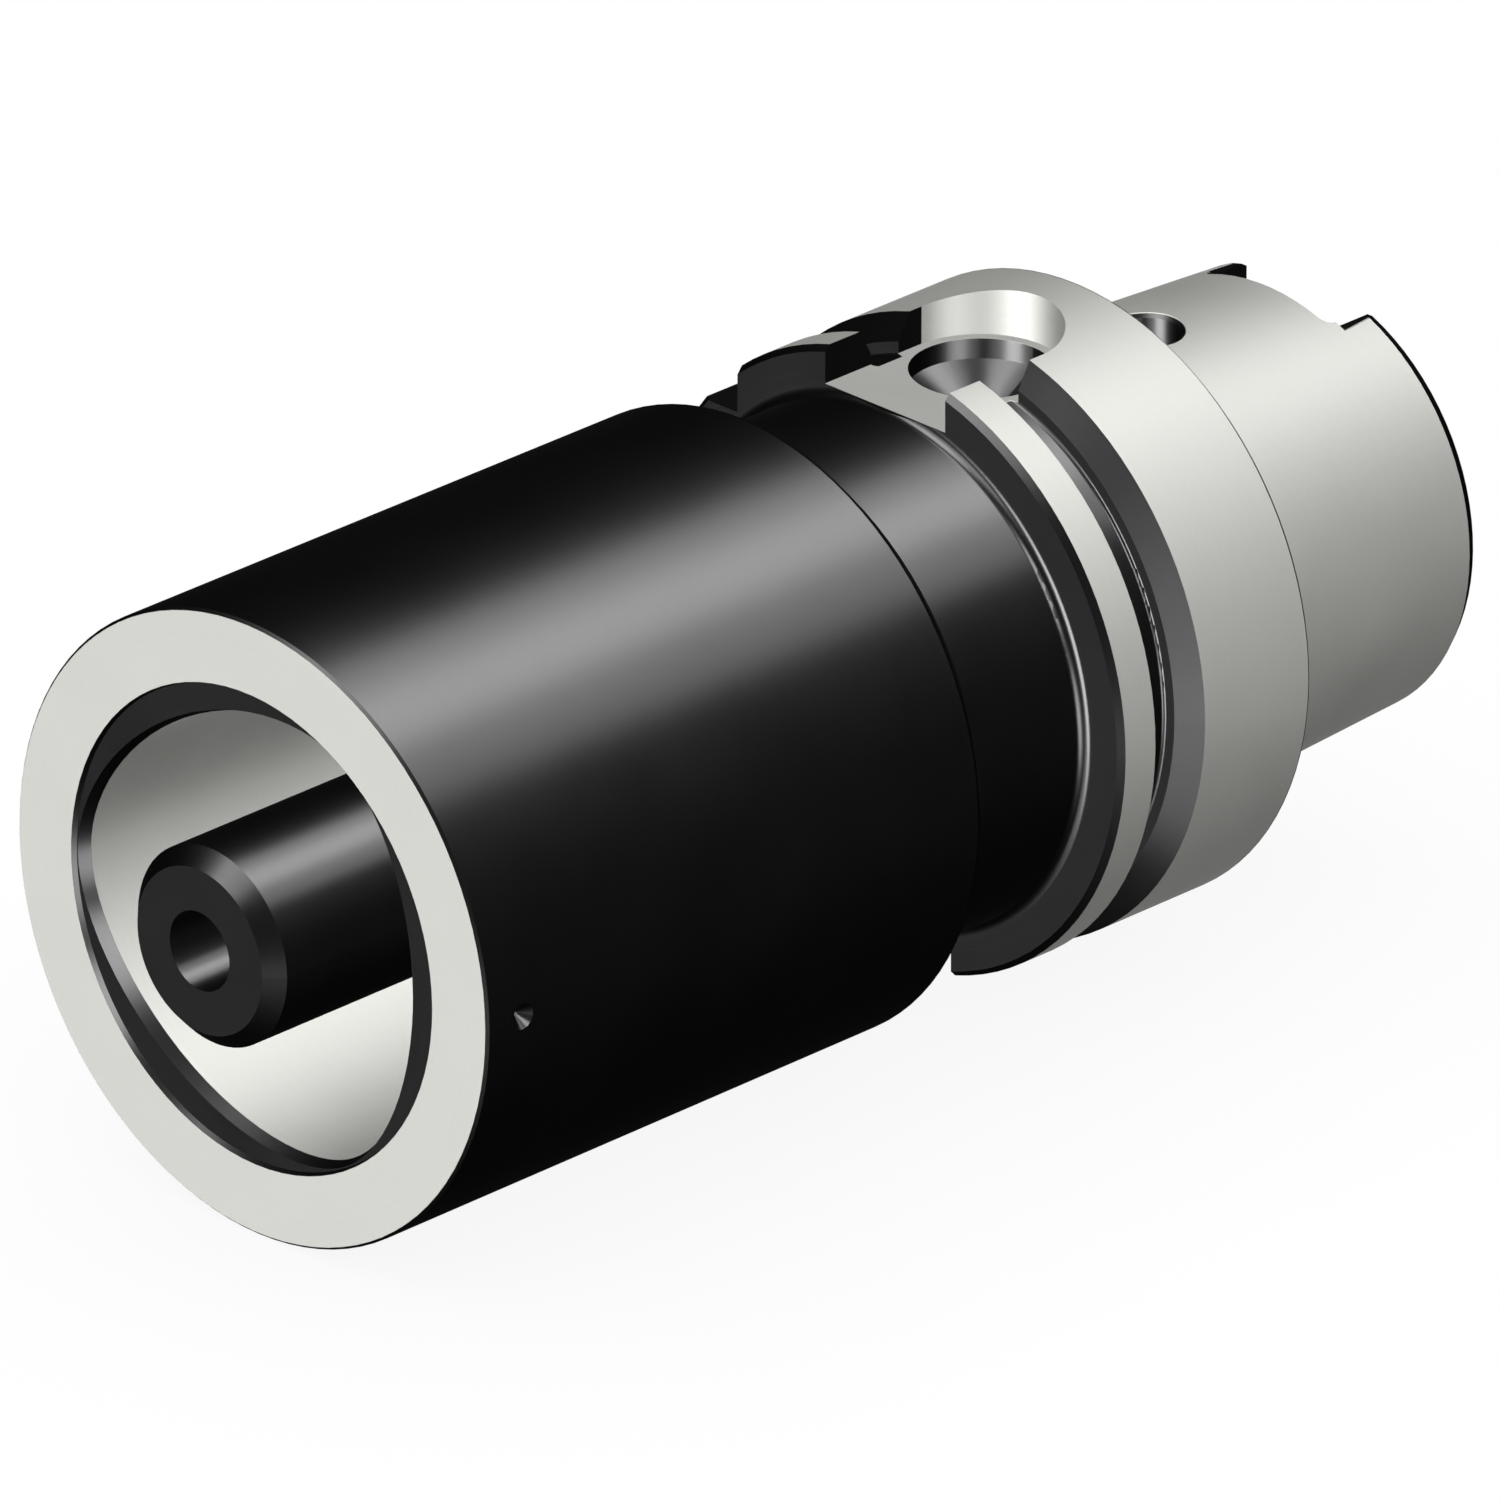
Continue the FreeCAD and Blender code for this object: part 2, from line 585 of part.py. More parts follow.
def centre_bolt():
    """Bolt with a hollow threaded front, a collar, a sealed spigot and a hexagon socket."""
    body = new_body("centre_bolt")
    half_groove = "bolt_seal_groove_width / 2"
    groove_radius = "bolt_spigot_radius - bolt_seal_groove_depth"
    thread_end = f"(bolt_thread_length - {BOLT_FRONT})"
    key_end = f"({SPIGOT_END} + key_depth)"
    cone = "(key_size / 2 - bolt_coolant_radius) / tan(drill_point_angle / 2)"
    turn(body, "turned_bolt", [
        ("bolt_coolant_radius", f"-{BOLT_FRONT}"),
        ("bolt_thread_radius - bolt_front_chamfer", f"-{BOLT_FRONT}"),
        ("bolt_thread_radius", f"bolt_front_chamfer - {BOLT_FRONT}"),
        ("bolt_thread_radius", thread_end),
        ("bolt_relief_radius", thread_end),
        ("bolt_relief_radius", f"{thread_end} + bolt_relief_width"),
        ("bolt_journal_radius", f"{thread_end} + bolt_relief_width"),
        ("bolt_journal_radius", f"-{COLLAR_FRONT}"),
        ("bolt_collar_radius - bolt_collar_break", f"-{COLLAR_FRONT}"),
        ("bolt_collar_radius", f"bolt_collar_break - {COLLAR_FRONT}"),
        ("bolt_collar_radius", f"-{COLLAR_REAR} - bolt_collar_break"),
        ("bolt_collar_radius - bolt_collar_break", f"-{COLLAR_REAR}"),
        ("bolt_spigot_radius", f"-{COLLAR_REAR}"),
        ("bolt_spigot_radius", f"-{SEAL_GROOVE_MIDDLE} - {half_groove}"),
        (groove_radius, f"-{SEAL_GROOVE_MIDDLE} - {half_groove}"),
        (groove_radius, f"-{SEAL_GROOVE_MIDDLE} + {half_groove}"),
        ("bolt_spigot_radius", f"-{SEAL_GROOVE_MIDDLE} + {half_groove}"),
        ("bolt_spigot_radius", f"-{SPIGOT_END} - bolt_spigot_chamfer"),
        ("bolt_spigot_radius - bolt_spigot_chamfer", f"-{SPIGOT_END}"),
        ("key_size / 2", f"-{SPIGOT_END}"),
        ("key_size / 2", f"-{key_end}"),
        ("bolt_coolant_radius", f"-{key_end} - {cone}"),
    ])
    flat, corner = "key_size / 2", "key_size / sqrt(3)"
    sketch = new_sketch(body, "key_socket_view", "XZ_Plane", SPIGOT_END)
    draw_outline(sketch, [
        (flat, f"{corner} / 2"),
        ("0", corner),
        (f"-{flat}", f"{corner} / 2"),
        (f"-{flat}", f"-{corner} / 2"),
        ("0", f"-{corner}"),
        (flat, f"-{corner} / 2"),
    ])
    pocket(body, sketch, "key_socket", length="key_depth", reverse=True)
    return body


def bolt_ring_nut():
    """Threaded ring behind the socket that holds the bolt's collar, with slots for its spanner."""
    body = new_body("bolt_ring_nut")
    inside = "bolt_journal_radius + running_clearance"
    outside = "(nut_thread_radius - thread_clearance)"
    turn(body, "turned_nut", [
        (inside, f"-{NUT_FRONT}"),
        (f"{outside} - nut_edge_break", f"-{NUT_FRONT}"),
        (outside, f"nut_edge_break - {NUT_FRONT}"),
        (outside, "-bolt_chamber_front - nut_edge_break"),
        (f"{outside} - nut_edge_break", "-bolt_chamber_front"),
        (inside, "-bolt_chamber_front"),
    ])
    sketch = new_sketch(body, "spanner_slot_view", "XZ_Plane", NUT_FRONT)
    half = "nut_slot_width / 2"
    beyond = f"nut_thread_radius + {CUT_MARGIN}"
    near = "bolt_journal_radius"
    draw_outline(sketch, [(near, f"-{half}"), (beyond, f"-{half}"), (beyond, half), (near, half)])
    slot = pocket(body, sketch, "spanner_slot", length="nut_slot_depth")
    repeat_round_axis(body, slot, "spanner_slots", "nut_slot_count")
    return body


def bolt_thrust_washer():
    """Hardened washer between the ring nut and the bolt's collar."""
    body = new_body("bolt_thrust_washer")
    inside = "bolt_journal_radius + washer_clearance"
    outside = "bolt_collar_radius"
    front, rear = "-bolt_chamber_front", "washer_thickness - bolt_chamber_front"
    turn(body, "turned_washer", [(inside, front), (outside, front), (outside, rear), (inside, rear)])
    return body


def coolant_tube():
    """Tube that brings coolant from the spindle, with a collar at its front end."""
    body = new_body("coolant_tube")
    tip = f"(tube_length - {TUBE_FRONT})"
    turn(body, "turned_tube", [
        ("tube_bore_radius", f"-{TUBE_FRONT}"),
        ("tube_collar_radius", f"-{TUBE_FRONT}"),
        ("tube_collar_radius", f"tube_collar_thickness - {TUBE_FRONT}"),
        ("tube_seat_radius", f"tube_collar_thickness - {TUBE_FRONT}"),
        ("tube_seat_radius", "-tube_seat_end"),
        ("tube_radius", "-tube_seat_end"),
        ("tube_radius", f"{tip} - tube_tip_length"),
        ("tube_radius - tube_tip_depth", tip),
        ("tube_bore_radius", tip),
    ])
    return body


def coolant_tube_nut():
    """Threaded bush that holds the tube's collar and its two seals, slotted for a spanner."""
    body = new_body("coolant_tube_nut")
    inside = "tube_seat_radius + tube_clearance"
    outside = "(tube_thread_radius - thread_clearance)"
    collar_pocket = "tube_collar_radius + tube_clearance"
    pocket_front = "-tube_thread_end + tube_nut_lip_width"
    pocket_rear = f"{pocket_front} + tube_collar_thickness + 2 * axial_play"
    corners = [
        ("tube_nut_lip_radius", "-tube_thread_end"),
        (outside, "-tube_thread_end"),
        (outside, f"-{TUBE_NUT_END} - tube_nut_break"),
        (f"{outside} - tube_nut_break", f"-{TUBE_NUT_END}"),
        (inside, f"-{TUBE_NUT_END}"),
    ]
    for place in (second_seal_place(), first_seal_place()):
        rear, front = f"{place} + tube_seal_groove_width / 2", f"{place} - tube_seal_groove_width / 2"
        corners += [
            (inside, rear),
            ("tube_seal_groove_radius", rear),
            ("tube_seal_groove_radius", front),
            (inside, front),
        ]
    corners += [
        (inside, pocket_rear),
        (collar_pocket, pocket_rear),
        (collar_pocket, pocket_front),
        ("tube_nut_lip_radius", pocket_front),
    ]
    turn(body, "turned_tube_nut", corners)
    sketch = new_sketch(body, "tube_nut_slot_view", "XZ_Plane", TUBE_NUT_END)
    half = "tube_nut_slot_width / 2"
    near, beyond = "tube_seat_radius", f"tube_thread_radius + {CUT_MARGIN}"
    draw_outline(sketch, [(near, f"-{half}"), (beyond, f"-{half}"), (beyond, half), (near, half)])
    slot = pocket(body, sketch, "tube_nut_slot", length="tube_nut_slot_depth", reverse=True)
    repeat_round_axis(body, slot, "tube_nut_slots", "tube_nut_slot_count")
    return body


def first_seal_place():
    """Place along Y of the seal nearer the tube's collar."""
    return "(tube_seal_place - tube_thread_end)"


def second_seal_place():
    """Place along Y of the seal nearer the spindle."""
    return "(tube_seal_place + tube_seal_spacing - tube_thread_end)"


def seal_ring(label, inside, outside, place):
    """Round-section seal between two radii, clear of both by the seals' clearance."""
    ring = doc.addObject("Part::Torus", label)
    ring.Label = label
    lying_about_y = FreeCAD.Rotation(FreeCAD.Vector(1, 0, 0), 90)
    ring.Placement = FreeCAD.Placement(FreeCAD.Vector(), lying_about_y)
    bind(ring, "Placement.Base.y", place)
    bind(ring, "Radius1", f"(({inside}) + ({outside})) / 2")
    bind(ring, "Radius2", f"(({outside}) - ({inside})) / 2 - seal_clearance")
    return ring


def build():
    """Every sub-part, in the order in which the adapter is put together."""
    tube_seal = ("tube_seat_radius", "tube_seal_groove_radius")
    bolt_seal = ("bolt_spigot_radius - bolt_seal_groove_depth", "bolt_spigot_radius + running_clearance")
    return [
        adapter_body(),
        centre_bolt(),
        seal_ring("bolt_seal", *bolt_seal, f"-{SEAL_GROOVE_MIDDLE}"),
        bolt_thrust_washer(),
        bolt_ring_nut(),
        coolant_tube(),
        coolant_tube_nut(),
        seal_ring("tube_front_seal", *tube_seal, first_seal_place()),
        seal_ring("tube_rear_seal", *tube_seal, second_seal_place()),
    ]


def check(parts):
    """Stop if any object of the document failed or a sub-part has no sound solid."""
    failed = [item.Name for item in doc.Objects if {"Invalid", "Error"} & set(item.State)]
    for part in parts:
        if part.Shape.isNull() or not part.Shape.isValid() or len(part.Shape.Solids) != 1:
            failed.append(part.Label)
    if failed:
        raise RuntimeError("failed: " + ", ".join(failed))


def write(parts):
    """One file for each sub-part, named after it."""
    os.makedirs("parts", exist_ok=True)
    for part in parts:
        part.Shape.exportStep(f"parts/{part.Label}.step")
        print(part.Label, round(part.Shape.Volume, 1), len(part.Shape.Faces))


fill_sheet()
sub_parts = build()
doc.recompute()
check(sub_parts)
write(sub_parts)
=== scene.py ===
import logging
from dataclasses import dataclass
from enum import Enum
from typing import Mapping, Union

import bpy
from mathutils import Matrix, Vector

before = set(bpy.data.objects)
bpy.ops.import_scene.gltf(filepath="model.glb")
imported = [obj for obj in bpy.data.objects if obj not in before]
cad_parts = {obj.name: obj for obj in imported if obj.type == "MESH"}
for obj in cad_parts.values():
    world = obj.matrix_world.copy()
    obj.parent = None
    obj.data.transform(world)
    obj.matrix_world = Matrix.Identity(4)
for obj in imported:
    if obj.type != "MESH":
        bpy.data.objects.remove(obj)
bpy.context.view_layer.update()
log = logging.getLogger("adapter")

# Visual model of the tool holder adapter. Its shaders count in millimetres, from the same origin as the
# solids: the tool axis is Y, the gauge face is y = 0, the shank points to +Y and the top keyway to +Z.

MM_PER_METRE = 1000.0
MEAN_NOISE = 0.5
OPAQUE = 1.0
WHITE = (1.0, 1.0, 1.0, OPAQUE)

Number = Union[int, float]
Colour = tuple[float, float, float]
Direction = tuple[float, float, float]
Socket = bpy.types.NodeSocket


class Shade:
    """Value of one shader socket, on which arithmetic adds the nodes that work it out."""

    def __init__(self, graph: "Graph", socket: Socket) -> None:
        """Hold a socket of a graph.

        Args:
            graph: The graph that the socket's node is in.
            socket: An output socket with a single number.
        """
        self.graph = graph
        self.socket = socket

    def _with(self, operation: str, *others: "Operand", reflected: bool = False) -> "Shade":
        """Result of one Math node.

        Args:
            operation: Name of the Math node's operation.
            others: The other operands.
            reflected: Whether this value is the last operand.

        Returns:
            The node's output.
        """
        operands = (*others, self) if reflected else (self, *others)
        settings = {"operation": operation}
        made = self.graph.node("ShaderNodeMath", settings, dict(enumerate(operands)))
        return self.graph.shade(made)

    def __add__(self, other: "Operand") -> "Shade":
        """Sum."""
        return self._with("ADD", other)

    def __radd__(self, other: Number) -> "Shade":
        """Sum with a number in front."""
        return self._with("ADD", other, reflected=True)

    def __sub__(self, other: "Operand") -> "Shade":
        """Difference."""
        return self._with("SUBTRACT", other)

    def __rsub__(self, other: Number) -> "Shade":
        """A number less this value."""
        return self._with("SUBTRACT", other, reflected=True)

    def __mul__(self, other: "Operand") -> "Shade":
        """Product, which for masks means both."""
        return self._with("MULTIPLY", other)

    def __rmul__(self, other: Number) -> "Shade":
        """Product with a number in front."""
        return self._with("MULTIPLY", other, reflected=True)

    def __truediv__(self, other: "Operand") -> "Shade":
        """Quotient."""
        return self._with("DIVIDE", other)

    def __rtruediv__(self, other: Number) -> "Shade":
        """A number divided by this value."""
        return self._with("DIVIDE", other, reflected=True)

    def __pow__(self, other: "Operand") -> "Shade":
        """Power."""
        return self._with("POWER", other)

    def __abs__(self) -> "Shade":
        """Size without sign."""
        return self._with("ABSOLUTE")

    def __gt__(self, other: "Operand") -> "Shade":
        """Mask that is 1 where this value is greater."""
        return self._with("GREATER_THAN", other)

    def __lt__(self, other: "Operand") -> "Shade":
        """Mask that is 1 where this value is less."""
        return self._with("LESS_THAN", other)

    def __or__(self, other: "Operand") -> "Shade":
        """Mask that is 1 where either mask is."""
        return self._with("MAXIMUM", other)

    def between(self, low: Number, high: Number) -> "Shade":
        """Mask that is 1 where this value lies between two numbers.

        Args:
            low: Lower number.
            high: Upper number.

        Returns:
            The mask.
        """
        return (self > low) * (self < high)

    def clamped(self) -> "Shade":
        """This value kept from 0 to 1."""
        return self._with("MINIMUM", 1.0)._with("MAXIMUM", 0.0)


Operand = Union[Shade, Number]
Given = Union[Shade, Socket, Number, tuple[float, ...]]


def diagonal(across: Shade, along: Shade) -> Shade:
    """Length of the diagonal of a rectangle with the given sides."""
    return (across * across + along * along) ** 0.5


class Mixed(Enum):
    """What a Mix node goes between: its data type, the numbers of its two inputs and of its output."""

    NUMBER = ("FLOAT", 2, 3, 0)
    VECTOR = ("VECTOR", 4, 5, 1)
    COLOUR = ("RGBA", 6, 7, 2)


class Graph:
    """Node graph of a material or of the surroundings."""

    def __init__(self, owner: Union[bpy.types.Material, bpy.types.World]) -> None:
        """Start from the nodes that the owner comes with.

        Args:
            owner: The material or world.
        """
        owner.use_nodes = True
        self.owner = owner
        self.nodes = owner.node_tree.nodes
        self.links = owner.node_tree.links

    def node(
        self,
        kind: str,
        settings: Mapping[str, object] | None = None,
        inputs: Mapping[str | int, Given] | None = None,
    ) -> bpy.types.Node:
        """Add a node.

        Args:
            kind: The node's type name.
            settings: Attributes of the node, which are set first.
            inputs: Values or links of its input sockets.

        Returns:
            The new node.
        """
        made = self.nodes.new(kind)
        for name, setting in (settings or {}).items():
            setattr(made, name, setting)
        for name, given in (inputs or {}).items():
            self.feed(made.inputs[name], given)
        return made

    def feed(self, socket: Socket, given: Given) -> None:
        """Give an input socket a value, or a link from another socket.

        Args:
            socket: The input socket.
            given: A Shade, an output socket or a plain value.
        """
        if isinstance(given, Shade):
            given = given.socket
        if isinstance(given, Socket):
            self.links.new(given, socket)
        else:
            socket.default_value = given

    def shade(self, node: bpy.types.Node, output: str | int = 0) -> Shade:
        """Output of a node as a value to count with.

        Args:
            node: The node.
            output: Name or number of its output.

        Returns:
            The wrapped output.
        """
        return Shade(self, node.outputs[output])

    def mix(self, kind: Mixed, mask: Shade, low: Given, high: Given) -> Socket:
        """What goes from one value to another with a mask.

        Args:
            kind: Whether numbers, vectors or colours are mixed.
            mask: 0 for the first value, 1 for the second.
            low: First value or its socket.
            high: Second value or its socket.

        Returns:
            The mixed value's socket.
        """
        data_type, first, second, output = kind.value
        inputs = {"Factor": mask, first: low, second: high}
        return self.node("ShaderNodeMix", {"data_type": data_type}, inputs).outputs[output]

    def noise(self, where: Given, scale: float, detail: float, one_way: bool = False) -> Shade:
        """Smooth noise from 0 to 1.

        Args:
            where: Position socket, or a value for noise along one line.
            scale: Waves per millimetre.
            detail: Number of finer layers.
            one_way: Whether the noise runs along one line only.

        Returns:
            The noise.
        """
        settings = {"noise_dimensions": "1D" if one_way else "3D"}
        inputs = {"W" if one_way else "Vector": where, "Scale": scale, "Detail": detail}
        return self.shade(self.node("ShaderNodeTexNoise", settings, inputs))


class Place:
    """Where a shaded point is on the adapter, in millimetres, and which way its surface faces."""

    def __init__(self, graph: Graph) -> None:
        """Add the nodes that read the point.

        Args:
            graph: The material's graph.
        """
        self.graph = graph
        in_metres = graph.node("ShaderNodeTexCoord").outputs["Object"]
        scale = {0: in_metres, "Scale": MM_PER_METRE}
        self.point = graph.node("ShaderNodeVectorMath", {"operation": "SCALE"}, scale).outputs[0]
        self.x, self.y, self.z = self._parts(self.point)
        self.radius = diagonal(self.x, self.z)
        facet = graph.node("ShaderNodeNewGeometry").outputs["True Normal"]
        facing_x, self.facing_y, facing_z = self._parts(self._turn(facet, "WORLD", "OBJECT"))
        self.facing_out = (facing_x * self.x + facing_z * self.z) / self.radius

    def _parts(self, vector: Socket) -> tuple[Shade, Shade, Shade]:
        """The three parts of a vector.

        Args:
            vector: The vector's socket.

        Returns:
            Its parts along X, Y and Z.
        """
        split = self.graph.node("ShaderNodeSeparateXYZ", inputs={0: vector})
        return tuple(self.graph.shade(split, axis) for axis in "XYZ")

    def _turn(self, normal: Socket, start: str, end: str) -> Socket:
        """A normal turned from one space to another.

        Args:
            normal: The normal's socket.
            start: Name of the space that it is in.
            end: Name of the space that it goes to.

        Returns:
            The turned normal's socket.
        """
        settings = {"vector_type": "NORMAL", "convert_from": start, "convert_to": end}
        return self.graph.node("ShaderNodeVectorTransform", settings, {0: normal}).outputs[0]

    def _turned_normal(self, outwards: Operand, along: Operand) -> Socket:
        """Normal of a turned shape at the shaded point.

        Args:
            outwards: The normal's part away from the tool axis.
            along: Its part along the axis, towards the shank.

        Returns:
            The socket of the normal in world space.
        """
        share = outwards / self.radius
        parts = {"X": self.x * share, "Y": along, "Z": self.z * share}
        own = self.graph.node("ShaderNodeCombineXYZ", inputs=parts).outputs[0]
        return self._turn(own, "OBJECT", "WORLD")

    def normal_on(self, shapes: tuple["TurnedShape", ...]) -> Socket:
        """Normal of the surface, which on the given turned shapes is their true one.

        Args:
            shapes: The turned shapes.

        Returns:
            The socket of the normal in world space.
        """
        normal = self.graph.node("ShaderNodeNewGeometry").outputs["Normal"]
        for shape in shapes:
            on_it, outwards, along = shape.normal_at(self)
            true_one = self._turned_normal(outwards, along)
            normal = self.graph.mix(Mixed.VECTOR, on_it, normal, true_one)
        return normal


@dataclass(frozen=True)
class Round:
    """Concave fillet turned about the tool axis.

    Its circle has its centre at a radius and a place along the axis. The surface lies away from the axis
    from there where out_side is 1 and nearer to it where it is -1, and towards the shank where
    along_side is 1 and towards the front where it is -1.
    """

    radius: float
    place: float
    size: float
    out_side: int
    along_side: int
    near: float = 0.04

    def normal_at(self, point: Place) -> tuple[Shade, Operand, Operand]:
        """Where the fillet is, and its normal, which points to the circle's centre.

        Args:
            point: The shaded point.

        Returns:
            The fillet's mask, and its normal's parts away from the axis and along it.
        """
        outwards, along = self.radius - point.radius, self.place - point.y
        reach = diagonal(outwards, along)
        on_it = reach.between(self.size - self.near, self.size + self.near)
        on_it = on_it * (outwards * self.out_side < 0.0) * (along * self.along_side < 0.0)
        return on_it, outwards, along


@dataclass(frozen=True)
class BrokenEdge:
    """Fine break on an outer edge turned about the tool axis, on the face that looks along_side."""

    radius: float
    place: float
    width: float
    along_side: int
    lean: float = 0.3
    near: float = 0.05

    def normal_at(self, point: Place) -> tuple[Shade, Operand, Operand]:
        """Where the break is, and its normal.

        Args:
            point: The shaded point.

        Returns:
            The break's mask, and its normal's parts away from the axis and along it.
        """
        past = (point.y - self.place) * self.along_side
        on_it = past.between(-self.width, self.near) * (point.radius > self.radius - self.near)
        return on_it, self.lean, float(self.along_side)


@dataclass(frozen=True)
class Barrel:
    """Outer surface turned about the tool axis, a cylinder or a slim cone, beyond a given radius."""

    front: float
    rear: float
    beyond: float
    slope: float = 0.0
    least_facing: float = 0.95

    def normal_at(self, point: Place) -> tuple[Shade, Operand, Operand]:
        """Where the surface is, and its normal.

        Args:
            point: The shaded point.

        Returns:
            The surface's mask, and its normal's parts away from the axis and along it.
        """
        on_it = point.y.between(self.front, self.rear) * (point.radius > self.beyond)
        return on_it * (point.facing_out > self.least_facing), 1.0, self.slope


TurnedShape = Union[Round, BrokenEdge, Barrel]


class Marks(Enum):
    """How a piece was given its form, which tells whether it has turning marks."""

    TURNED = "turned"
    MOULDED = "moulded"


@dataclass(frozen=True)
class Finish:
    """One finish, in the shader's numbers. The pitch is in millimetres, and so is the depth."""

    name: str
    colour: Colour
    metallic: float
    roughness: float
    colour_spread: float
    roughness_spread: float
    marks: Marks = Marks.TURNED
    mark_pitch: float = 0.4
    mark_depth: float = 0.0004


BLACK_OXIDE = Finish(
    name="black_oxide",
    colour=(0.0341, 0.0341, 0.0341),
    metallic=1.0,
    roughness=0.289,
    colour_spread=0.08,
    roughness_spread=0.03,
)
GROUND_STEEL = Finish(
    name="ground_steel",
    colour=(0.2725, 0.2743, 0.260),
    metallic=1.0,
    roughness=0.611,
    colour_spread=0.03,
    roughness_spread=0.04,
    mark_pitch=0.3,
)
TURNED_STEEL = Finish(
    name="turned_steel",
    colour=(0.245, 0.245, 0.234),
    metallic=1.0,
    roughness=0.58,
    colour_spread=0.04,
    roughness_spread=0.06,
    mark_pitch=0.35,
)
SEAL_RUBBER = Finish(
    name="seal_rubber",
    colour=(0.018, 0.018, 0.018),
    metallic=0.0,
    roughness=0.6,
    colour_spread=0.2,
    roughness_spread=0.1,
    marks=Marks.MOULDED,
)


@dataclass
class Surface:
    """Material of one or two finishes, the second where a mask says so.

    Scales are waves per millimetre, details are numbers of finer layers, and the wander of the turning
    marks is in millimetres.
    """

    graph: Graph
    place: Place
    base: Finish
    bright: Finish | None = None
    mask: Shade | None = None
    shapes: tuple[TurnedShape, ...] = ()
    cloud_scale: float = 0.09
    cloud_detail: float = 4.0
    cloud_weight: float = 2.0
    fleck_scale: float = 2.2
    fleck_detail: float = 2.0
    wander_scale: float = 0.05
    wander_detail: float = 1.0
    wander: float = 0.25
    mark_detail: float = 3.0
    end_face_limit: float = 0.8

    def _amount(self, of_base: float, of_bright: float) -> Operand:
        """A number that may differ between the two finishes.

        Args:
            of_base: The first finish's number.
            of_bright: The second finish's number.

        Returns:
            The number, mixed with the mask where the two differ.
        """
        if self.mask is None or of_base == of_bright:
            return of_base
        return Shade(self.graph, self.graph.mix(Mixed.NUMBER, self.mask, of_base, of_bright))

    def _colour(self) -> Union[Colour, Socket]:
        """Colour of the finishes before any unevenness.

        Returns:
            The colour, or the mixed colour's socket where there is a mask.
        """
        if self.mask is None:
            return self.base.colour
        low, high = (*self.base.colour, OPAQUE), (*self.bright.colour, OPAQUE)
        return self.graph.mix(Mixed.COLOUR, self.mask, low, high)

    def _grain(self) -> tuple[Shade, Shade]:
        """Cloudy variation over the surface, and the rings that the tool left.

        The rings follow one another along the axis, and on end faces along the radius.

        Returns:
            The clouds and the rings, both around 0.
        """
        graph, place = self.graph, self.place
        clouds = graph.noise(place.point, self.cloud_scale, self.cloud_detail) - MEAN_NOISE
        on_end_face = abs(place.facing_y) > self.end_face_limit
        travel = Shade(graph, graph.mix(Mixed.NUMBER, on_end_face, place.y, place.radius))
        wander = graph.noise(place.point, self.wander_scale, self.wander_detail) * self.wander
        ring_scale = 1.0 / self.base.mark_pitch
        rings = graph.noise(travel + wander, ring_scale, self.mark_detail, one_way=True) - MEAN_NOISE
        return clouds, rings

    def finish(self) -> bpy.types.Material:
        """Link the finishes to the surface shader.

        Returns:
            The material.
        """
        graph, base = self.graph, self.base
        bright = self.bright or base
        shader = graph.nodes["Principled BSDF"].inputs
        clouds, rings = self._grain()
        fleck = graph.noise(self.place.point, self.fleck_scale, self.fleck_detail) - MEAN_NOISE
        uneven = clouds * self.cloud_weight + fleck
        tone = 1.0 + uneven * self._amount(base.colour_spread, bright.colour_spread)
        scale = {0: self._colour(), "Scale": tone}
        toned = graph.node("ShaderNodeVectorMath", {"operation": "SCALE"}, scale)
        graph.feed(shader["Base Color"], toned.outputs[0])
        spread = self._amount(base.roughness_spread, bright.roughness_spread)
        rough = (clouds + rings) * spread + self._amount(base.roughness, bright.roughness)
        graph.feed(shader["Roughness"], rough.clamped())
        graph.feed(shader["Metallic"], self._amount(base.metallic, bright.metallic))
        if base.marks is Marks.TURNED:
            depth = base.mark_depth / MM_PER_METRE
            normal = self.place.normal_on(self.shapes)
            relief = {"Height": rings, "Distance": depth, "Strength": 1.0, "Normal": normal}
            graph.feed(shader["Normal"], graph.node("ShaderNodeBump", inputs=relief).outputs[0])
        return graph.owner


def dress(node: str, material: bpy.types.Material) -> None:
    """Give a carried-over solid its material.

    Args:
        node: Name of the solid's node.
        material: The finished material.
    """
    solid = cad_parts[node]
    for worn in solid.material_slots:
        worn.material = material
    log.info("%s wears %s", node, material.name)


@dataclass(frozen=True)
class Keyway:
    """Keyway in the flange, open to the front and with a round end towards the shank.

    The floor is a height above the axis, or below it if negative, half is half of the width, and the
    centre is where the round end's centre is along the axis.
    """

    floor: float
    half: float
    centre: float


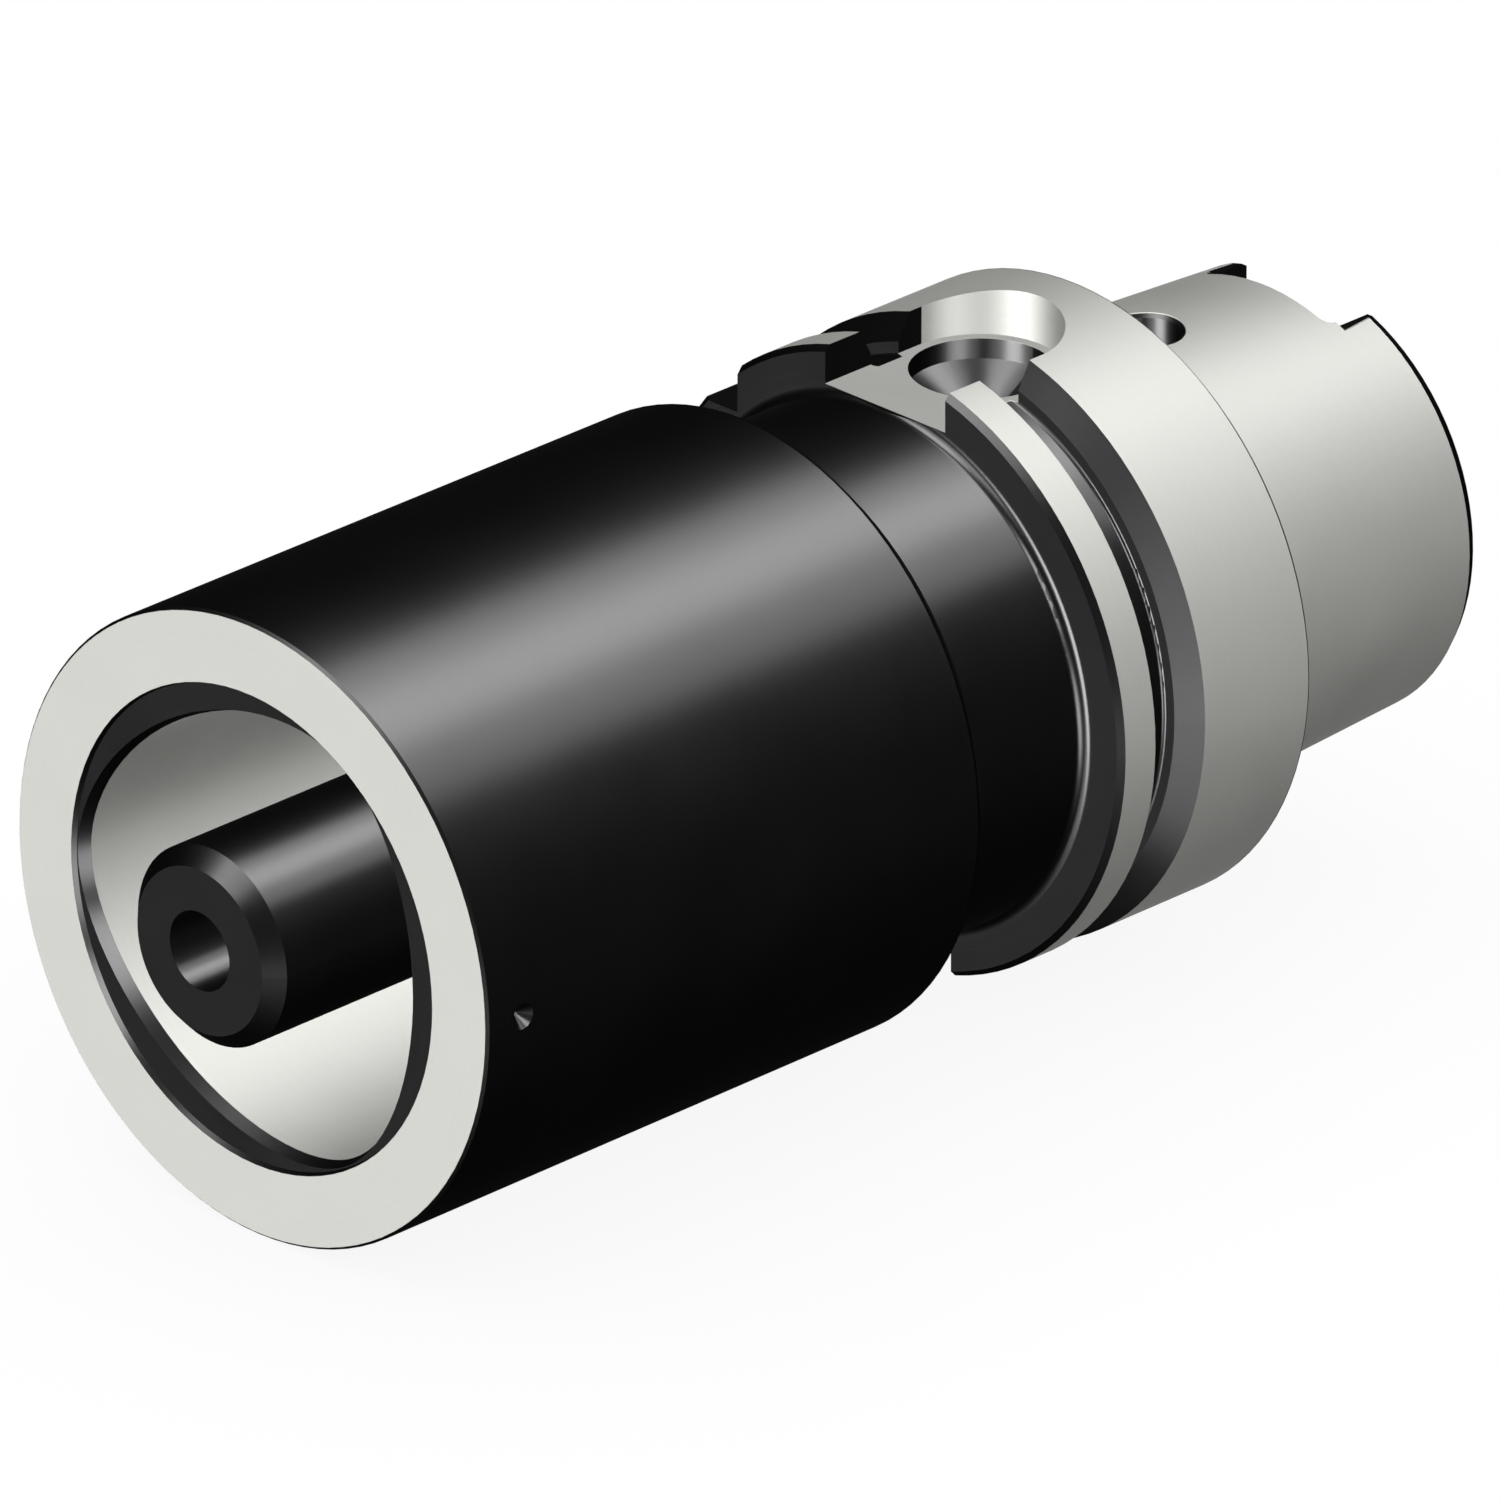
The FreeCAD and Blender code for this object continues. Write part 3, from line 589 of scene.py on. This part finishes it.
@dataclass
class HolderBody:
    """The one-piece body: black all over but for its ground faces.

    Sizes are in millimetres, and a reach is a limit of the radius. Near is how far from a flat face a
    point may be and still count as on it, and bend is the same for a curved face, which the solid's mesh
    follows with flat facets.
    """

    front_face: float = -110.0
    lead_end: float = -108.15
    socket_end: float = -71.2
    socket_reach: float = 24.1
    rim_front: float = -25.4
    rim_rear: float = -0.55
    rim_reach: float = 31.0
    rim_facing: float = 0.95
    flange_front: float = -26.0
    gauge_face: float = 0.0
    face_reach: float = 24.7
    top_keyway: Keyway = Keyway(floor=26.55, half=8.0, centre=-13.0)
    bottom_keyway: Keyway = Keyway(floor=-20.0, half=9.0, centre=-14.0)
    taper_start: float = 1.6
    taper_end: float = 30.75
    taper_base: float = 24.32
    taper_slope: float = 0.05
    shoulder: tuple[float, float] = (15.5, 18.2)
    shoulder_reach: float = 18.6
    near: float = 0.02
    bend: float = 0.08
    shapes: tuple[TurnedShape, ...] = (
        Barrel(front=-109.5, rear=-45.3, beyond=31.0),  # body
        Barrel(front=-41.2, rear=-28.0, beyond=26.2),  # neck
        Barrel(front=-25.4, rear=-0.5, beyond=31.0),  # flange
        Barrel(front=1.6, rear=30.7, beyond=22.0, slope=0.05),  # shank
        Round(radius=27.5, place=-27.0, size=1.0, out_side=-1, along_side=1),  # neck to flange
        Round(radius=27.5, place=-42.25, size=1.0, out_side=-1, along_side=-1),  # neck to body
        Round(radius=27.85, place=-16.475, size=0.35, out_side=-1, along_side=1),  # groove's rear
        Round(radius=27.85, place=-19.525, size=0.35, out_side=-1, along_side=-1),  # groove's front
        Round(radius=17.0, place=-3.0, size=1.5, out_side=1, along_side=-1),  # floor of the shank's cavity
        BrokenEdge(radius=31.5, place=-45.0, width=0.26, along_side=1),  # body's rear edge
    )

    def _front_and_socket(self, at: Place) -> Shade:
        """The ground front ring and the socket's wall.

        Args:
            at: The shaded point.

        Returns:
            Their mask.
        """
        ring = at.y < self.front_face + self.near
        wall = at.y.between(self.lead_end + self.near, self.socket_end - self.near)
        return ring | wall * (at.radius < self.socket_reach)

    def _keyway(self, at: Place, keyway: Keyway) -> Shade:
        """One keyway's floor and round end.

        Args:
            at: The shaded point.
            keyway: The keyway.

        Returns:
            Their mask.
        """
        height = at.z if keyway.floor > 0.0 else at.z * -1.0
        depth = abs(keyway.floor)
        flat = height.between(depth - self.near, depth + self.near)
        flat = flat * (abs(at.x) < keyway.half + self.near)
        along = at.y - keyway.centre
        reach = diagonal(at.x, along)
        end = reach.between(keyway.half - self.bend, keyway.half + self.near)
        end = end * (along > 0.0) * (height > depth)
        return (flat | end) * at.y.between(self.flange_front, self.gauge_face)

    def _flange(self, at: Place) -> Shade:
        """The flange's rim, its gauge face and its keyways' ground parts.

        Args:
            at: The shaded point.

        Returns:
            Their mask.
        """
        rim = at.y.between(self.rim_front, self.rim_rear) * (at.radius > self.rim_reach)
        rim = rim * (at.facing_out > self.rim_facing)
        face = at.y.between(self.gauge_face - self.near, self.gauge_face + self.near)
        face = face * (at.radius > self.face_reach)
        return rim | face | self._keyway(at, self.top_keyway) | self._keyway(at, self.bottom_keyway)

    def _shank(self, at: Place) -> Shade:
        """The shank's taper and its inner clamping shoulder.

        Args:
            at: The shaded point.

        Returns:
            Their mask.
        """
        taper_radius = self.taper_base - at.y * self.taper_slope
        taper = at.y.between(self.taper_start, self.taper_end)
        taper = taper * (at.radius > taper_radius - self.bend)
        shoulder = at.y.between(*self.shoulder) * (at.radius < self.shoulder_reach)
        return taper | shoulder

    def build(self) -> None:
        """Dress the body."""
        graph = Graph(bpy.data.materials.new("holder_steel"))
        at = Place(graph)
        mask = self._front_and_socket(at) | self._flange(at) | self._shank(at)
        steel = Surface(graph, at, BLACK_OXIDE, GROUND_STEEL, mask, self.shapes)
        dress("adapter_body", steel.finish())


@dataclass
class InnerParts:
    """The bolt with what keeps it in, and the coolant tube with its bush and seals.

    Each piece has its node's name, its finish and its material slot.
    """

    pieces: tuple[tuple[str, Finish, str], ...] = (
        ("centre_bolt", BLACK_OXIDE, "bolt_black_steel"),
        ("bolt_ring_nut", BLACK_OXIDE, "bolt_black_steel"),
        ("bolt_thrust_washer", GROUND_STEEL, "ground_steel"),
        ("coolant_tube", TURNED_STEEL, "plain_steel"),
        ("coolant_tube_nut", TURNED_STEEL, "plain_steel"),
        ("bolt_seal", SEAL_RUBBER, "black_rubber"),
        ("tube_front_seal", SEAL_RUBBER, "black_rubber"),
        ("tube_rear_seal", SEAL_RUBBER, "black_rubber"),
    )

    def build(self) -> None:
        """Dress each inner piece, with one material for each finish."""
        made: dict[str, bpy.types.Material] = {}
        for node, finish, slot in self.pieces:
            if finish.name not in made:
                graph = Graph(bpy.data.materials.new(finish.name))
                made[finish.name] = Surface(graph, Place(graph), finish).finish()
            dress(node, made[finish.name])


@dataclass(frozen=True)
class Lamp:
    """Far lamp with a wide disc, in the given direction from the adapter. The spread is in radians."""

    name: str
    direction: Direction
    strength: float
    spread: float = 0.607


@dataclass
class Studio:
    """Camera, lamps, pale floor and white surroundings.

    Lengths are in metres, but for the lens and the sensor, which are in millimetres.
    """

    camera_place: tuple[float, float, float] = (1.729676, -1.773774, 1.137406)
    camera_right: Direction = (0.70711, 0.70711, 0.0)
    camera_back: Direction = (0.64086, -0.64086, 0.42262)
    lens: float = 683.17
    sensor: float = 36.0
    clip: tuple[float, float] = (0.1, 100.0)
    surroundings_light: float = 0.003
    floor_level: float = -0.0316
    floor_reach: float = 40.0
    floor_shade: float = 0.91
    floor_shade_reach: float = 0.05
    floor_shade_samples: int = 8
    lamps: tuple[Lamp, ...] = (
        Lamp("back_lamp", (0.005, 0.507, 0.862), 2.04),
        Lamp("back_right_lamp", (0.248, 0.636, 0.731), 1.35),
        Lamp("upper_left_lamp", (-0.272, -0.269, 0.924), 3.44),
        Lamp("left_lamp", (-0.150, -0.718, 0.679), 1.82),
        Lamp("front_lamp", (-0.150, -0.964, -0.217), 5.90),
        Lamp("lower_lamp", (0.190, -0.821, -0.538), 0.95),
        Lamp("front_right_lamp", (0.864, -0.392, -0.316), 0.75),
        Lamp("right_lamp", (0.966, -0.117, -0.229), 2.77),
        Lamp("upper_right_lamp", (0.803, 0.014, 0.596), 3.75),
    )

    def _camera(self) -> None:
        """Put the camera where the photograph was taken from."""
        data = bpy.data.cameras.new("camera")
        data.sensor_width = self.sensor
        data.lens = self.lens
        data.clip_start, data.clip_end = self.clip
        camera = bpy.data.objects.new("camera", data)
        right, back = Vector(self.camera_right), Vector(self.camera_back)
        turn = Matrix((right, back.cross(right), back)).transposed()
        camera.matrix_world = Matrix.Translation(self.camera_place) @ turn.to_4x4()
        bpy.context.scene.collection.objects.link(camera)
        bpy.context.scene.camera = camera

    def _light(self, lamp: Lamp) -> None:
        """Hang one lamp, which casts no shadow.

        Args:
            lamp: The lamp.
        """
        data = bpy.data.lights.new(lamp.name, "SUN")
        data.energy = lamp.strength
        data.angle = lamp.spread
        data.use_shadow = False
        hung = bpy.data.objects.new(lamp.name, data)
        hung.rotation_euler = Vector(lamp.direction).to_track_quat("Z", "Y").to_euler()
        bpy.context.scene.collection.objects.link(hung)

    def _surroundings(self) -> None:
        """White surroundings that hardly light the object."""
        graph = Graph(bpy.data.worlds.new("surroundings"))
        path = graph.node("ShaderNodeLightPath")
        levels = {"Value": graph.shade(path, "Is Camera Ray"), "To Min": self.surroundings_light}
        strength = graph.shade(graph.node("ShaderNodeMapRange", inputs=levels))
        shine = graph.nodes["Background"].inputs
        graph.feed(shine["Color"], WHITE)
        graph.feed(shine["Strength"], strength)
        bpy.context.scene.world = graph.owner

    def _floor(self) -> None:
        """Pale floor with a faint contact shade, which the object doesn't reflect."""
        signs = ((-1, -1), (1, -1), (1, 1), (-1, 1))
        reach = self.floor_reach
        corners = [(x * reach, y * reach, self.floor_level) for x, y in signs]
        mesh = bpy.data.meshes.new("floor")
        mesh.from_pydata(corners, [], [(0, 1, 2, 3)])
        floor = bpy.data.objects.new("floor", mesh)
        graph = Graph(bpy.data.materials.new("pale_floor"))
        samples = {"samples": self.floor_shade_samples}
        near = graph.node("ShaderNodeAmbientOcclusion", samples, {"Distance": self.floor_shade_reach})
        level = self.floor_shade + (1.0 - self.floor_shade) * graph.shade(near, "AO")
        shine = graph.node("ShaderNodeEmission", inputs={"Color": WHITE, "Strength": level})
        graph.feed(graph.nodes["Material Output"].inputs["Surface"], shine.outputs[0])
        mesh.materials.append(graph.owner)
        for kind in ("visible_diffuse", "visible_glossy", "visible_transmission", "visible_shadow"):
            setattr(floor, kind, False)
        bpy.context.scene.collection.objects.link(floor)

    def _quiet(self) -> None:
        """Keep the pieces out of each other's reflected light, as in the photograph."""
        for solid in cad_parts.values():
            solid.visible_glossy = False
            solid.visible_diffuse = False

    def build(self) -> None:
        """Set the stage."""
        bpy.context.scene.view_settings.view_transform = "Standard"
        self._camera()
        for lamp in self.lamps:
            self._light(lamp)
        self._surroundings()
        self._floor()
        self._quiet()
        log.info("studio set with %d lamps", len(self.lamps))


def main() -> None:
    """Build the scene in order."""
    logging.basicConfig(level=logging.INFO, format="%(name)s: %(message)s")
    HolderBody().build()
    InnerParts().build()
    Studio().build()


if __name__ == "__main__":
    main()
